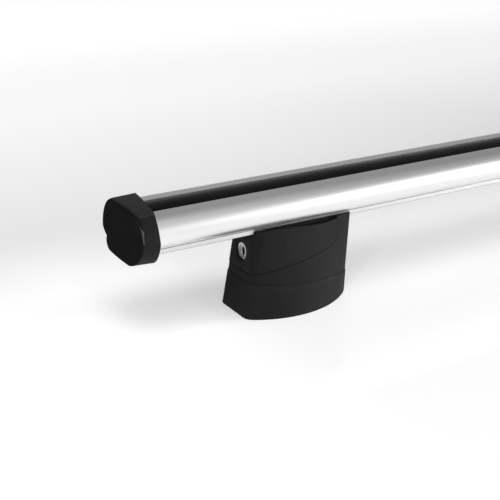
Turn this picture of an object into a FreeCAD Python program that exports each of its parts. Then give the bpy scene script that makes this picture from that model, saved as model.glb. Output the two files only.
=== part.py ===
import FreeCAD, Part
import math
import os

V = FreeCAD.Vector

# Roof rack crossbar, in millimetres. +X runs along the bar, -Y is the front, +Z is up.
# The origin is on the ground under the middle of the bar, between its two feet.
# The left foot is modelled and turned half a turn about Z for the right one.

# Whole crossbar
overall_length = 1200.0
foot_overhang = 126.3
underside_height = 60.0

# Bar extrusion
bar_width = 60.0
bar_height = 30.0
shoulder_half_width = 21.0
crown = 0.6
widest_height = 19.0
bar_wall = 2.2
lip_width = 25.0
lip_height = 3.4
groove_height = 0.4
groove_depth = 0.8
lip_chamfer = 0.4

# T-slot in the top of the bar, with the seat of its rubber strip
seat_width = 22.6
seat_depth = 2.2
top_mouth = 11.0
top_lip = 2.2
top_channel_width = 20.0
top_channel_height = 6.0

# T-slot in the bottom of the bar, where the feet are clamped
lower_mouth = 12.0
lower_lip = 3.2
lower_channel_width = 19.4
lower_channel_height = 7.0
web = 2.0
chamber_corner = 1.0

# Rubber strip
strip_clearance = 0.15
strip_proud = 0.8
strip_crown = 1.2
strip_leg = 1.5
strip_barb = 1.6
strip_barb_height = 2.0

# End cap. Heights in its outline are taken from the underside of the cap.
cap_length = 11.4
cap_skew = 8.6
cap_end_wall = 3.5
cap_drop = 5.8
cap_height = 39.1
cap_front_half = 33.4
cap_back_half = 34.0
cap_front_widest = 21.4
cap_back_widest = 15.9
cap_front_shoulder = 20.0
cap_back_shoulder = 21.0
cap_shoulder_fall = 0.6
cap_front_brow = 2.4
cap_back_brow = 3.3
cap_front_chin = 4.2
cap_back_chin = 3.7
cap_front_toe = 8.0
cap_back_toe = 22.0
cap_notch_half = 28.0
cap_notch_height = 10.0
cap_notch_bulge = 0.8
cap_belly = 0.5
cap_shoulder_lean = 1.2
cap_nose_lean = 2.0
cap_taper = 0.014
cap_top_edge = 3.6
cap_edge = 0.7
cap_fit = 0.2
plug_length = 16.0
plug_fit = 0.25

# Outer form of a foot: half widths and lengths at the ground and at the bar's underside
foot_length = 88.8
foot_lean = 9.1
foot_spread = 1.6
outer_half_base = 18.0
outer_half_top = 17.3
middle_half_base = 31.2
middle_half_top = 21.2
inner_half_base = 11.6
inner_half_top = 14.4
middle_place_base = 38.2
middle_place_top = 43.5
outer_corner = 8.0
inner_corner = 1.6
form_headroom = 8.0

# Rubber boot
seam_height_outer = 25.6
seam_height_inner = 17.3
boot_wall = 3.2
boot_floor = 5.0
boot_groove = 1.0
boot_groove_width = 2.0
boot_groove_pitch = 7.0
boot_groove_count = 7
boot_fit = 0.2

# Moulded housing
housing_step = 0.35
ledge_height = 30.8
ledge_slope = 9.4
ledge_end = 13.0
ledge_corner = 8.0
core_half = 14.4
core_start = 18.4
deck = 4.0
saddle_height = 2.5
saddle_fit = 0.2
housing_wall = 2.6
rib = 1.8
rib_pitch = 13.0
plug_depth = 8.0
sill_end = 10.0

# Steel bracket
bracket_width = 22.0
bracket_thickness = 4.0
bracket_bend = 3.0
bracket_start = 12.0
bracket_foot_start = 14.0
bracket_end_gap = 10.6
bracket_fit = 0.2
roof_hole = 8.6
roof_hole_spacing = 30.0
roof_access_hole = 13.0

# Clamp bolts, washers and slot nut
clamp_spacing = 24.0
clamp_place = 26.2
bolt_diameter = 6.0
bolt_length = 18.0
bolt_head = 10.0
bolt_socket = 5.0
bolt_fit = 0.3
thread_fit = 0.05
washer_diameter = 12.4
washer_thickness = 1.2
nut_length = 38.0
nut_thickness = 5.0
nut_fit = 0.3
nut_chamfer = 0.8

# Bracket screws
screw_diameter = 4.0
screw_length = 10.0
screw_head = 7.0
screw_head_height = 2.2
screw_heights = (20.0, 36.0)
screw_slot = 1.0
screw_tip_gap = 0.5

# Lockable cover
cover_wall = 2.4
cover_gap = 0.6
rim_line = ((0.0, 1.7), (16.0, 2.8), (30.0, 3.2), (42.0, 2.2), (54.0, 1.1), (66.0, 0.9), (88.8, 1.6))
cover_bar_gap = 0.6
rail_height = 50.4
rail_thickness = 2.0
rail_depth = 1.0
rail_fit = 0.3

# Lock
lock_height = 44.2
lock_face = 12.4
lock_barrel = 10.8
lock_plug = 9.0
lock_running_fit = 0.05
bezel_thickness = 1.5
lock_set_in = 0.9
lock_pocket_fit = 0.3
lock_length = 13.4
plug_recess = 1.0
keyway_width = 1.6
keyway_height = 6.4
keyway_depth = 10.0
shutter_width = 3.8
shutter_height = 8.0
shutter_depth = 0.7
boss_wall = 2.8
boss_length = 5.5
boss_overlap = 1.2
shank_diameter = 5.0
shank_flat = 3.6
cam_thickness = 1.6
cam_width = 7.0
cam_sweep = 8.0
cam_reach = 12.8
cam_corner = 1.0
cam_shoulder = 3.2
cam_gap = 0.3
cam_window_fit = 0.6
cam_screw_head = 6.4
cam_screw_head_height = 1.8
cam_screw_diameter = 2.5
cam_screw_length = 5.0
cam_screw_slot = 0.8
clip_thickness = 1.0
clip_width = 15.0
clip_groove = 0.7
clip_corner = 1.0
clip_leg_overrun = 0.5
clip_bridge = 6.3

# Places that follow from the sizes above
foot_spacing = overall_length - 2 * foot_overhang
foot_centre = -foot_spacing / 2
foot_outer = foot_centre - foot_length / 2
foot_inner = foot_centre + foot_length / 2
bar_half = overall_length / 2 - cap_end_wall
bar_top = underside_height + bar_height
cap_bottom = underside_height - cap_drop
form_top = underside_height + form_headroom

# Cutting shapes reach this far past what they cut: a little, well clear, and everywhere
over = 1.0
clear = 20.0
reach = overall_length

# An edge that keeps this close to a plane lies in it
touch = 0.01


def along(x):
    """Return a function that places (y, z) points in the cross-section at x."""
    return lambda y, z: V(x, y, z)


def across(y):
    """Return a function that places (x, z) points in the lengthwise plane at y."""
    return lambda x, z: V(x, y, z)


def level(z):
    """Return a function that places (x, y) points in the horizontal plane at z."""
    return lambda x, y: V(x, y, z)


def arc(start, middle, end):
    return Part.Arc(start, middle, end).toShape()


def line(start, end):
    return Part.LineSegment(start, end).toShape()


def rounded_face(points, radii, place):
    """Make a face from corner points, each corner rounded to its radius (0 keeps it sharp)."""
    corners = []
    count = len(points)
    for index, (point, radius) in enumerate(zip(points, radii)):
        corner = V(point[0], point[1], 0)
        before = V(*points[index - 1], 0) - corner
        after = V(*points[(index + 1) % count], 0) - corner
        before.normalize()
        after.normalize()
        half_angle = before.getAngle(after) / 2
        if radius == 0:
            corners.append((corner, None, corner))
            continue
        bisector = before + after
        bisector.normalize()
        setback = radius / math.tan(half_angle)
        middle = corner + bisector * (radius / math.sin(half_angle) - radius)
        corners.append((corner + before * setback, middle, corner + after * setback))
    edges = []
    for index, (start, middle, end) in enumerate(corners):
        if middle is not None:
            edges.append(arc(place(start.x, start.y), place(middle.x, middle.y), place(end.x, end.y)))
        following = corners[(index + 1) % count][0]
        edges.append(line(place(end.x, end.y), place(following.x, following.y)))
    return Part.Face(Part.Wire(edges))


def sharp_face(points, place):
    return rounded_face(points, [0] * len(points), place)


def rectangle(half_width, low, high, place, radius=0.0):
    points = [(-half_width, low), (half_width, low), (half_width, high), (-half_width, high)]
    return rounded_face(points, [radius] * 4, place)


def box(x0, x1, y0, y1, z0, z1):
    return Part.makeBox(x1 - x0, y1 - y0, z1 - z0, V(x0, y0, z0))


def rod_x(radius, x0, x1, y, z):
    return Part.makeCylinder(radius, x1 - x0, V(x0, y, z), V(1, 0, 0))


def rod_z(radius, z0, z1, x, y=0.0):
    return Part.makeCylinder(radius, z1 - z0, V(x, y, z0), V(0, 0, 1))


def hexagon(across_flats, place):
    radius = across_flats / math.sqrt(3)
    angles = [math.radians(60 * step) for step in range(6)]
    return sharp_face([(radius * math.cos(a), radius * math.sin(a)) for a in angles], place)


def bar_curves(grow):
    """Return the shoulder circle and the slanted lower side of the bar's section, grown by grow."""
    half = bar_width / 2
    fall = bar_height - crown - widest_height
    run = half - shoulder_half_width
    radius = (run * run + fall * fall) / (2 * run)
    centre = V(half - radius, underside_height + widest_height, 0)
    foot = V(lip_width / 2, underside_height + lip_height + groove_height, 0)
    to_centre = centre - foot
    steep = math.atan2(to_centre.y, to_centre.x)
    slope = steep - math.asin(radius / to_centre.Length)
    normal = V(math.sin(slope), -math.cos(slope), 0)
    return centre, radius + grow, normal, slope


def bar_outline(grow, place):
    """Make the bar's outer outline as a face: crowned top, round shoulders, slanted sides and lip."""
    centre, radius, normal, slope = bar_curves(grow)
    tangent = centre + normal * radius
    top = bar_top + grow
    shoulder_height = bar_top - crown + grow
    shoulder = centre.x + math.sqrt(radius ** 2 - (shoulder_height - centre.y) ** 2)
    if shoulder_height >= centre.y + radius:
        shoulder = centre.x
    lip = lip_width / 2 + grow
    groove = lip - groove_depth
    groove_top = underside_height + lip_height + groove_height
    lip_top = underside_height + lip_height
    side_end = tangent.y - (tangent.x - lip) * math.tan(slope)
    bottom = underside_height - grow
    side = math.atan2(shoulder_height - centre.y, shoulder - centre.x)
    below = math.atan2(normal.y, normal.x)
    bulge = (side + below) / 2
    bulge_y = centre.x + radius * math.cos(bulge)
    bulge_z = centre.y + radius * math.sin(bulge)
    right = [(tangent.x, tangent.y), (lip, side_end), (groove, min(side_end, groove_top)), (groove, lip_top),
             (lip, lip_top), (lip, bottom + lip_chamfer), (lip - lip_chamfer, bottom)]
    edges = [arc(place(-shoulder, shoulder_height), place(0, top), place(shoulder, shoulder_height))]
    edges.append(arc(place(shoulder, shoulder_height), place(bulge_y, bulge_z), place(tangent.x, tangent.y)))
    path = right + [(-y, z) for y, z in reversed(right)]
    for start, end in zip(path, path[1:]):
        edges.append(line(place(*start), place(*end)))
    left_end = place(-shoulder, shoulder_height)
    edges.append(arc(place(-tangent.x, tangent.y), place(-bulge_y, bulge_z), left_end))
    return Part.Face(Part.Wire(edges))


def side_chamber(gap, place):
    """Make the hollow at the bar's right side, or a plug that fits it with a gap all round."""
    centre, radius, normal, slope = bar_curves(0)
    inner = radius - bar_wall - gap
    tangent = centre + normal * inner
    near = max(top_channel_width, lower_channel_width) / 2 + bar_wall + gap
    ceiling = bar_top - crown - bar_wall - gap
    start_y = centre.x + math.sqrt(inner ** 2 - min(ceiling - centre.y, inner) ** 2)
    start = math.atan2(ceiling - centre.y, start_y - centre.x)
    finish = math.atan2(normal.y, normal.x)
    bulge = (start + finish) / 2
    floor = tangent.y - (tangent.x - near) * math.tan(slope)
    edges = [
        line(place(near, ceiling), place(start_y, ceiling)),
        arc(place(start_y, ceiling),
            place(centre.x + inner * math.cos(bulge), centre.y + inner * math.sin(bulge)),
            place(tangent.x, tangent.y)),
        line(place(tangent.x, tangent.y), place(near, floor)),
        line(place(near, floor), place(near, ceiling)),
    ]
    return Part.Face(Part.Wire(edges))


def flipped(shape):
    return shape.mirror(V(0, 0, 0), V(0, 1, 0))


def bar_extrusion():
    """The aluminium bar: an outer skin joined by webs to a T-slot above and one below."""
    place = along(-bar_half)
    seat_floor = bar_top - seat_depth
    top_channel_roof = seat_floor - top_lip
    top_channel_floor = top_channel_roof - top_channel_height
    lower_channel_floor = underside_height + lower_lip
    lower_channel_roof = lower_channel_floor + lower_channel_height
    hollow_half = max(top_channel_width, lower_channel_width) / 2
    hollows = [
        rectangle(seat_width / 2, seat_floor, bar_top + over, place),
        rectangle(top_mouth / 2, top_channel_roof, seat_floor, place),
        rectangle(top_channel_width / 2, top_channel_floor, top_channel_roof, place, chamber_corner),
        rectangle(lower_mouth / 2, underside_height - over, lower_channel_floor, place),
        rectangle(lower_channel_width / 2, lower_channel_floor, lower_channel_roof, place, chamber_corner),
        rectangle(hollow_half, lower_channel_roof + web, top_channel_floor - web, place, chamber_corner),
        side_chamber(0, place),
        flipped(side_chamber(0, place)),
    ]
    section = bar_outline(0, place).cut(hollows)
    return section.extrude(V(2 * bar_half, 0, 0))


def top_strip():
    """The rubber strip: a crowned top in the seat, and two barbed legs that grip under the slot's lips."""
    place = along(-bar_half)
    half = seat_width / 2 - strip_clearance
    seat_floor = bar_top - seat_depth
    edge_top = bar_top + strip_proud - strip_crown
    crest = bar_top + strip_proud
    outer = top_mouth / 2 - strip_clearance
    inner = outer - strip_leg
    under_lip = seat_floor - top_lip - strip_clearance
    tip = under_lip - strip_barb_height
    barb = outer + strip_barb
    leg = [(half, edge_top), (half, seat_floor), (outer, seat_floor), (outer, under_lip), (barb, under_lip),
           (outer, tip), (inner, tip), (inner, seat_floor)]
    path = leg + [(-y, z) for y, z in reversed(leg)]
    edges = [line(place(*start), place(*end)) for start, end in zip(path, path[1:])]
    edges.append(arc(place(-half, edge_top), place(0, crest), place(half, edge_top)))
    return Part.Face(Part.Wire(edges)).extrude(V(2 * bar_half, 0, 0))


def cap_outline(end, x):
    """Make the end cap's outline at x: nearly flat below and above, blunt in front, notched behind.

    It is drawn for the outer face, where end is -1, and for a plane well inboard, where end is 1.
    """
    def place(y, height):
        middle = cap_height / 2
        scale = 1 + end * cap_taper
        return V(x, y * scale, cap_bottom + middle + (height - middle) * scale)

    shoulder = cap_height - cap_shoulder_fall
    front_top = (-cap_front_shoulder - end * cap_shoulder_lean, shoulder)
    back_top = (cap_back_shoulder, shoulder)
    front_side = (-cap_front_half, cap_front_widest - end * cap_nose_lean)
    back_side = (cap_back_half, cap_back_widest)
    notch = (cap_notch_half, cap_notch_height)
    front_toe = (-cap_front_toe, 0)
    back_toe = (cap_back_toe, 0)
    arcs = [
        (front_top, (0, cap_height), back_top),
        (back_top, bulge_point(back_top, back_side, cap_back_brow), back_side),
        (back_side, bulge_point(back_side, notch, cap_notch_bulge), notch),
        (notch, bulge_point(notch, back_toe, cap_back_chin), back_toe),
        (back_toe, bulge_point(back_toe, front_toe, cap_belly), front_toe),
        (front_toe, bulge_point(front_toe, front_side, cap_front_chin), front_side),
        (front_side, bulge_point(front_side, front_top, cap_front_brow), front_top),
    ]
    return Part.Wire([arc(place(*start), place(*middle), place(*end)) for start, middle, end in arcs])


def bulge_point(start, end, bulge):
    """The middle of an arc that bulges out of its chord, to the left of a walk from start to end."""
    dy = end[0] - start[0]
    dz = end[1] - start[1]
    length = math.hypot(dy, dz)
    return (start[0] + end[0]) / 2 - dz / length * bulge, (start[1] + end[1]) / 2 + dy / length * bulge


def beyond_cap_rim(x):
    """Everything inboard of the cap's rim, which starts at x in front and is cut a little askew."""
    skew = math.tan(math.radians(cap_skew))
    far = 2 * cap_front_half
    points = [(x - (far - cap_front_half) * skew, -far), (x + (far + cap_front_half) * skew, far),
              (0, far), (0, -far)]
    return sharp_face(points, level(0)).extrude(V(0, 0, 2 * form_top))


def cap_shell():
    """The cap's outer form. Its end has a wide soft edge above, which narrows down the front brow."""
    outer_face = -overall_length / 2
    sections = [cap_outline(-1, outer_face), cap_outline(1, outer_face + 2 * cap_length)]
    shell = Part.makeLoft(sections, True, True)
    shell = shell.makeFillet(cap_top_edge, [edge for edge in cap_end_edges(shell) if is_on_top(edge)])
    brow = [edge for edge in cap_end_edges(shell) if is_brow(edge)]
    shell = shell.makeFillet(cap_edge, cap_top_edge, brow)
    rest = [edge for edge in cap_end_edges(shell) if not is_on_top(edge) and not is_brow(edge)]
    return shell.makeFillet(cap_edge, rest)


def cap_end_edges(shell):
    return [edge for edge in shell.Edges if edge.BoundBox.XMax < touch - overall_length / 2]


def is_on_top(edge):
    return edge.BoundBox.ZMin > bar_top


def is_brow(edge):
    return edge.BoundBox.YMax < -cap_front_toe and edge.BoundBox.ZMin > cap_bottom + cap_front_widest


def end_cap():
    """The left end cap: a shell over the bar's end, and two hollow plugs that grip in the bar."""
    shell = cap_shell()
    cavity = bar_outline(cap_fit, along(-bar_half)).extrude(V(3 * cap_length, 0, 0))
    strip_half = seat_width / 2 + cap_fit
    strip_room = box(-bar_half, 0, -strip_half, strip_half, bar_top - over, bar_top + strip_proud + cap_fit)
    shell = shell.cut([cavity, strip_room, beyond_cap_rim(cap_length - overall_length / 2)])
    plug = side_chamber(plug_fit, along(-bar_half)).extrude(V(plug_length, 0, 0))
    core = side_chamber(plug_fit + bar_wall, along(-bar_half)).extrude(V(plug_length + over, 0, 0))
    plug = plug.cut(core)
    return shell.fuse([plug, flipped(plug)]).removeSplitter()


def share(height):
    """How far a height is from the ground to the bar's underside, as a share of 1."""
    return height / underside_height


def between(base, top, height):
    return base + (top - base) * share(height)


def side_circle(outer, middle, inner):
    """Return the centre and radius of the circle through three plan points."""
    circle = Part.Circle(V(*outer, 0), V(*middle, 0), V(*inner, 0))
    return circle.Center, circle.Radius


def corner_points(face_x, inward, corner_radius, centre, radius):
    """Round the corner where an end face meets the side circle; return start, middle and end of its arc."""
    x = face_x + inward * corner_radius
    y = centre.y + math.sqrt((radius - corner_radius) ** 2 - (x - centre.x) ** 2)
    corner_centre = V(x, y, 0)
    outward = corner_centre - centre
    outward.normalize()
    on_face = V(face_x, y, 0)
    on_side = corner_centre + outward * corner_radius
    bisector = (on_face - corner_centre) + (on_side - corner_centre)
    bisector.normalize()
    return on_face, corner_centre + bisector * corner_radius, on_side


def foot_outline(height, inset):
    """The foot's outline in plan at a height: two flat ends joined by bulging sides."""
    outer_x = foot_outer + foot_lean * share(height) + inset
    inner_x = foot_inner + foot_spread * share(height) - inset
    outer_half = between(outer_half_base, outer_half_top, height) - inset
    middle_half = between(middle_half_base, middle_half_top, height) - inset
    inner_half = between(inner_half_base, inner_half_top, height) - inset
    middle_x = foot_outer + between(middle_place_base, middle_place_top, height)
    centre, radius = side_circle((outer_x, outer_half), (middle_x, middle_half), (inner_x, inner_half))
    outer = corner_points(outer_x, 1, outer_corner, centre, radius)
    inner = corner_points(inner_x, -1, inner_corner, centre, radius)
    side_angle = [math.atan2(p.y - centre.y, p.x - centre.x) for p in (outer[2], inner[2])]
    mean = sum(side_angle) / 2
    crest = V(centre.x + radius * math.cos(mean), centre.y + radius * math.sin(mean), 0)
    half = [(outer[0], outer[1], outer[2]), (outer[2], crest, inner[2]), (inner[2], inner[1], inner[0])]
    place = level(height)
    edges = [arc(place(a.x, a.y), place(m.x, m.y), place(b.x, b.y)) for a, m, b in half]
    edges.append(line(place(inner[0].x, inner[0].y), place(inner[0].x, -inner[0].y)))
    for a, m, b in reversed(half):
        edges.append(arc(place(b.x, -b.y), place(m.x, -m.y), place(a.x, -a.y)))
    edges.append(line(place(outer[0].x, -outer[0].y), place(outer[0].x, outer[0].y)))
    return Part.Wire(edges)


def foot_form(inset, low=0.0, high=form_top):
    """The solid outer form that the boot, housing and cover of a foot share."""
    return Part.makeLoft([foot_outline(low, inset), foot_outline(high, inset)], True, True)


def seam_height(x):
    """Height of the seam between boot and housing, which falls towards the middle of the bar."""
    fall = (seam_height_outer - seam_height_inner) / foot_length
    return seam_height_outer - fall * (x - foot_outer)


def below_seam(shift):
    """Everything under the seam, with the seam raised by shift."""
    x0 = foot_outer - clear
    x1 = foot_inner + clear
    points = [(x0, -reach), (x1, -reach), (x1, seam_height(x1) + shift), (x0, seam_height(x0) + shift)]
    return sharp_face(points, across(-reach)).extrude(V(0, 2 * reach, 0))


def cover_region(shift):
    """The space that the cover takes, above the ledge and outboard of the housing's strip."""
    x0 = foot_outer - clear
    x1 = foot_inner - ledge_end - shift
    slope = math.tan(math.radians(ledge_slope))
    low = ledge_height + shift
    points = [(x0, low + slope * (x0 - foot_outer)), (x1, low + slope * (x1 - foot_outer)),
              (x1, reach), (x0, reach)]
    return rounded_face(points, [0, ledge_corner, 0, 0], across(-reach)).extrude(V(0, 2 * reach, 0))


def boot():
    """The rubber boot: a tray with a thick grooved floor, holes for the roof bolts and a wall to the seam."""
    body = foot_form(0).common(below_seam(0))
    hollow = foot_form(boot_wall, boot_floor)
    body = body.cut(hollow)
    for x in roof_hole_places():
        body = body.cut(rod_z(roof_access_hole / 2, -over, boot_floor + over, x))
    inside = foot_form(boot_wall, -over, boot_groove)
    half = boot_groove_width / 2
    grooves = []
    for step in range(boot_groove_count):
        y = (step - (boot_groove_count - 1) / 2) * boot_groove_pitch
        groove = box(foot_outer, foot_inner, y - half, y + half, -over, boot_groove)
        grooves.append(groove.common(inside))
    return body.cut(grooves)


def roof_hole_places():
    return [foot_centre - roof_hole_spacing / 2, foot_centre + roof_hole_spacing / 2]


def clamp_places():
    middle = foot_inner - bracket_end_gap - clamp_place
    return [middle - clamp_spacing / 2, middle + clamp_spacing / 2]


def bracket_frame():
    """Named planes of the bracket: start of each flange, back of its web, and both flanges' faces."""
    return {
        "top_start": clamp_places()[0] - bracket_start,
        "foot_start": foot_outer + bracket_foot_start,
        "back": foot_inner - bracket_end_gap,
        "floor": boot_floor,
        "top": underside_height - deck,
    }


def bracket():
    """The steel bracket, bent to a C: foot flange on the boot's floor, web, and a flange under the bar."""
    f = bracket_frame()
    t = bracket_thickness
    points = [
        (f["foot_start"], f["floor"]), (f["back"], f["floor"]), (f["back"], f["top"]),
        (f["top_start"], f["top"]), (f["top_start"], f["top"] - t), (f["back"] - t, f["top"] - t),
        (f["back"] - t, f["floor"] + t), (f["foot_start"], f["floor"] + t),
    ]
    outer_bend = bracket_bend + t
    radii = [0, outer_bend, outer_bend, 0, 0, bracket_bend, bracket_bend, 0]
    section = rounded_face(points, radii, across(-bracket_width / 2))
    body = section.extrude(V(0, bracket_width, 0))
    holes = [rod_z(roof_hole / 2, f["floor"] - over, f["floor"] + t + over, x) for x in roof_hole_places()]
    bolt_hole = bolt_diameter / 2 + bolt_fit
    holes += [rod_z(bolt_hole, f["top"] - t - over, f["top"] + over, x) for x in clamp_places()]
    for z in screw_heights:
        holes.append(rod_x(screw_diameter / 2 + thread_fit, f["back"] - t - over, f["back"] + over, 0, z))
    return body.cut(holes)


def lip_channel(fit, low):
    """The room that the bar's lower lip needs above a height."""
    half = lip_width / 2 + fit
    return box(foot_outer - clear, foot_inner + clear, -half, half, low, reach)


def rail_groove(fit):
    """The two straight grooves along the core, or the rails that run in them."""
    grooves = []
    for side in (1, -1):
        edges = sorted((side * (core_half - rail_depth - fit), side * (core_half + over)))
        grooves.append(box(foot_outer, foot_inner - ledge_end, edges[0], edges[1],
                           rail_height - fit, rail_height + rail_thickness + fit))
    return grooves


def side_pockets():
    """Hollows in the underside of the housing's flanks, divided by cross ribs."""
    inset = boot_wall + boot_fit + housing_wall
    x0 = foot_outer - clear
    x1 = foot_inner - ledge_end - housing_wall
    slope = math.tan(math.radians(ledge_slope))
    low = ledge_height - housing_wall
    points = [(x0, -reach), (x1, -reach),
              (x1, low + slope * (x1 - foot_outer)), (x0, low + slope * (x0 - foot_outer))]
    under_ledge = sharp_face(points, across(-reach)).extrude(V(0, 2 * reach, 0))
    hollow = foot_form(inset).common(under_ledge)
    ribs = [box(foot_outer, foot_inner, -core_half, core_half, -over, form_top)]
    count = int(foot_length / rib_pitch)
    for step in range(1, count):
        x = foot_outer + step * rib_pitch
        ribs.append(box(x - rib / 2, x + rib / 2, -reach, reach, -over, form_top))
    return hollow.cut(ribs)


def lock_window():
    """The hole in the core's wall that the lock's cam turns into."""
    x0, x1 = cam_span()
    top = lock_height + cam_width / 2 + cam_window_fit
    return box(x0 - cam_window_fit, x1 + cam_window_fit, 0, core_half + over, lock_height - cam_sweep, top)


def housing():
    """The moulded housing: ribbed flanks inside the boot, a hollow core, and a saddle for the bar's lip."""
    saddle_top = underside_height + saddle_height
    limit = box(foot_outer - over, foot_inner + clear, -reach, reach, 0, saddle_top)
    outside = foot_form(housing_step).common(limit)
    flanks = outside.cut([cover_region(0), below_seam(0)])
    plug = foot_form(boot_wall + boot_fit).common(below_seam(0)).cut(below_seam(-plug_depth))
    core = box(foot_outer + core_start, foot_inner - ledge_end, -core_half, core_half,
               seam_height_outer, saddle_top).common(foot_form(cover_wall + rail_fit))
    body = flanks.fuse([plug, core])
    f = bracket_frame()
    half = bracket_width / 2 + bracket_fit
    cavity = box(foot_outer + sill_end, f["back"] + bracket_fit, -half, half, 0, f["top"])
    cuts = [lip_channel(saddle_fit, underside_height), cavity, side_pockets(), lock_window()]
    cuts += rail_groove(rail_fit)
    bolt_hole = bolt_diameter / 2 + bolt_fit
    cuts += [rod_z(bolt_hole, f["top"] - over, underside_height + over, x) for x in clamp_places()]
    screw_end = f["back"] - bracket_thickness + screw_length
    cuts += [rod_x(screw_diameter / 2 + thread_fit, f["back"], screw_end, 0, z) for z in screw_heights]
    return body.cut(cuts)


def rim_region():
    """Everything under the cover's top rim, a wave that dips over the inboard half of the foot."""
    place = across(-reach)
    crest = [place(foot_outer + x, underside_height + rise) for x, rise in rim_line]
    curve = Part.BSplineCurve()
    curve.interpolate(crest)
    x0 = crest[0].x
    x1 = crest[-1].x
    edges = [
        curve.toShape(),
        line(crest[-1], place(x1, 0)),
        line(place(x1, 0), place(x0, 0)),
        line(place(x0, 0), crest[0]),
    ]
    return Part.Face(Part.Wire(edges)).extrude(V(0, 2 * reach, 0))


def lock_front():
    """The plane of the lock's bezel, set a little into the leaning end face."""
    return foot_outer + foot_lean * share(lock_height) + lock_set_in


def cover():
    """The lockable cover: a U-shaped shell that slides on from the outboard end along two rails."""
    region = cover_region(cover_gap).common(rim_region())
    shell = foot_form(0).common(region).cut(foot_form(cover_wall))
    rails = []
    inner_wall = foot_form(cover_wall / 2).common(region)
    for groove in rail_groove(0):
        rails.append(groove.common(inner_wall))
    front = lock_front()
    boss_back = front + bezel_thickness + boss_length
    boss = rod_x(lock_barrel / 2 + boss_wall, front, boss_back, 0, lock_height)
    body = shell.fuse(rails + [boss.common(foot_form(boss_overlap))])
    cuts = [
        lip_channel(saddle_fit, underside_height - cover_bar_gap),
        rod_x(lock_face / 2 + lock_pocket_fit, foot_outer - over, front + bezel_thickness, 0, lock_height),
        rod_x(lock_barrel / 2, front, boss_back + over, 0, lock_height),
    ]
    return body.cut(cuts).removeSplitter()


def cam_span():
    """The lengthwise span of the lock's cam."""
    start = lock_front() + lock_length + cam_gap
    return start, start + cam_thickness


def lock_sleeve():
    """The fixed part of the lock: a bezel ring and a barrel with a groove for the clip."""
    front = lock_front()
    back = front + lock_length
    body = rod_x(lock_face / 2, front, front + bezel_thickness, 0, lock_height)
    body = body.fuse(rod_x(lock_barrel / 2, front + bezel_thickness, back, 0, lock_height))
    bore = rod_x(lock_plug / 2 + lock_running_fit, front - over, back + over, 0, lock_height)
    return body.cut([bore, clip_slots()]).removeSplitter()


def clip_plane():
    return lock_front() + bezel_thickness + boss_length


def clip_slots():
    """The two flats across the barrel that the clip's legs slide into."""
    x0 = clip_plane()
    flat = lock_barrel / 2 - clip_groove
    size = lock_barrel
    slots = [box(x0, x0 + clip_thickness, flat, size, lock_height - size, lock_height + size),
             box(x0, x0 + clip_thickness, -size, -flat, lock_height - size, lock_height + size)]
    return Part.makeCompound(slots)


def lock_clip():
    """The spring steel clip: a plate with a U-shaped notch that straddles the barrel's flats."""
    x0 = clip_plane()
    flat = lock_barrel / 2 - clip_groove
    half = clip_width / 2
    low = lock_height - lock_barrel / 2 - clip_leg_overrun
    high = lock_height + clip_bridge
    outer = rectangle(half, low, high, along(x0), clip_corner)
    opening = box(x0 - over, x0 + clear, -flat, flat, low - over, lock_height)
    seat = rod_x(lock_barrel / 2, x0 - over, x0 + clear, 0, lock_height)
    between_flats = box(x0 - over, x0 + clear, -flat, flat, low - over, high + over)
    plate = outer.extrude(V(clip_thickness, 0, 0))
    return plate.cut([opening, seat.common(between_flats)])


def lens(width, height, place):
    """A pointed oval, as two arcs."""
    top = place(0, lock_height + height / 2)
    bottom = place(0, lock_height - height / 2)
    edges = [
        arc(bottom, place(width / 2, lock_height), top),
        arc(top, place(-width / 2, lock_height), bottom),
    ]
    return Part.Face(Part.Wire(edges))


def lock_cylinder():
    """The turning plug: keyway in front, and a shank with two flats for the cam behind."""
    front = lock_front() + plug_recess
    back = lock_front() + lock_length
    x0, x1 = cam_span()
    plug = rod_x(lock_plug / 2, front, back, 0, lock_height)
    shank = rod_x(shank_diameter / 2, back, x1, 0, lock_height)
    flat = shank_flat / 2
    shank = shank.common(box(back, x1, -flat, flat, 0, 2 * lock_height))
    keyway = box(front - over, front + keyway_depth, -keyway_width / 2, keyway_width / 2,
                 lock_height - keyway_height / 2, lock_height + keyway_height / 2)
    recess = lens(shutter_width, shutter_height, along(front - over)).extrude(V(over + shutter_depth, 0, 0))
    hole = rod_x(cam_screw_diameter / 2 + thread_fit, x1 - cam_screw_length, x1 + over, 0, lock_height)
    return plug.fuse(shank).cut([keyway, recess, hole]).removeSplitter()


def lock_cam():
    """The cam: a flat tongue on the shank, hanging down at rest, that turns a quarter turn to lock."""
    x0, x1 = cam_span()
    half = cam_width / 2
    points = [(-half, lock_height - cam_reach), (half, lock_height - cam_reach),
              (half, lock_height + half), (-half, lock_height + half)]
    radii = [cam_corner, cam_corner, cam_shoulder, cam_shoulder]
    plate = rounded_face(points, radii, along(x0)).extrude(V(cam_thickness, 0, 0))
    flat = shank_flat / 2 + thread_fit
    hole = rod_x(shank_diameter / 2 + thread_fit, x0 - over, x1 + over, 0, lock_height)
    hole = hole.common(box(x0 - over, x1 + over, -flat, flat, 0, 2 * lock_height))
    return plate.cut(hole)


def lock_screw():
    """The screw that holds the cam on its shank."""
    x1 = cam_span()[1]
    back = x1 + cam_screw_head_height
    head = rod_x(cam_screw_head / 2, x1, back, 0, lock_height)
    shank = rod_x(cam_screw_diameter / 2, x1 - cam_screw_length + screw_tip_gap, x1, 0, lock_height)
    half = cam_screw_slot / 2
    slot = box(back - cam_screw_head_height / 2, back + over, -half, half, 0, 2 * lock_height)
    return head.fuse(shank).cut(slot)


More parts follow.
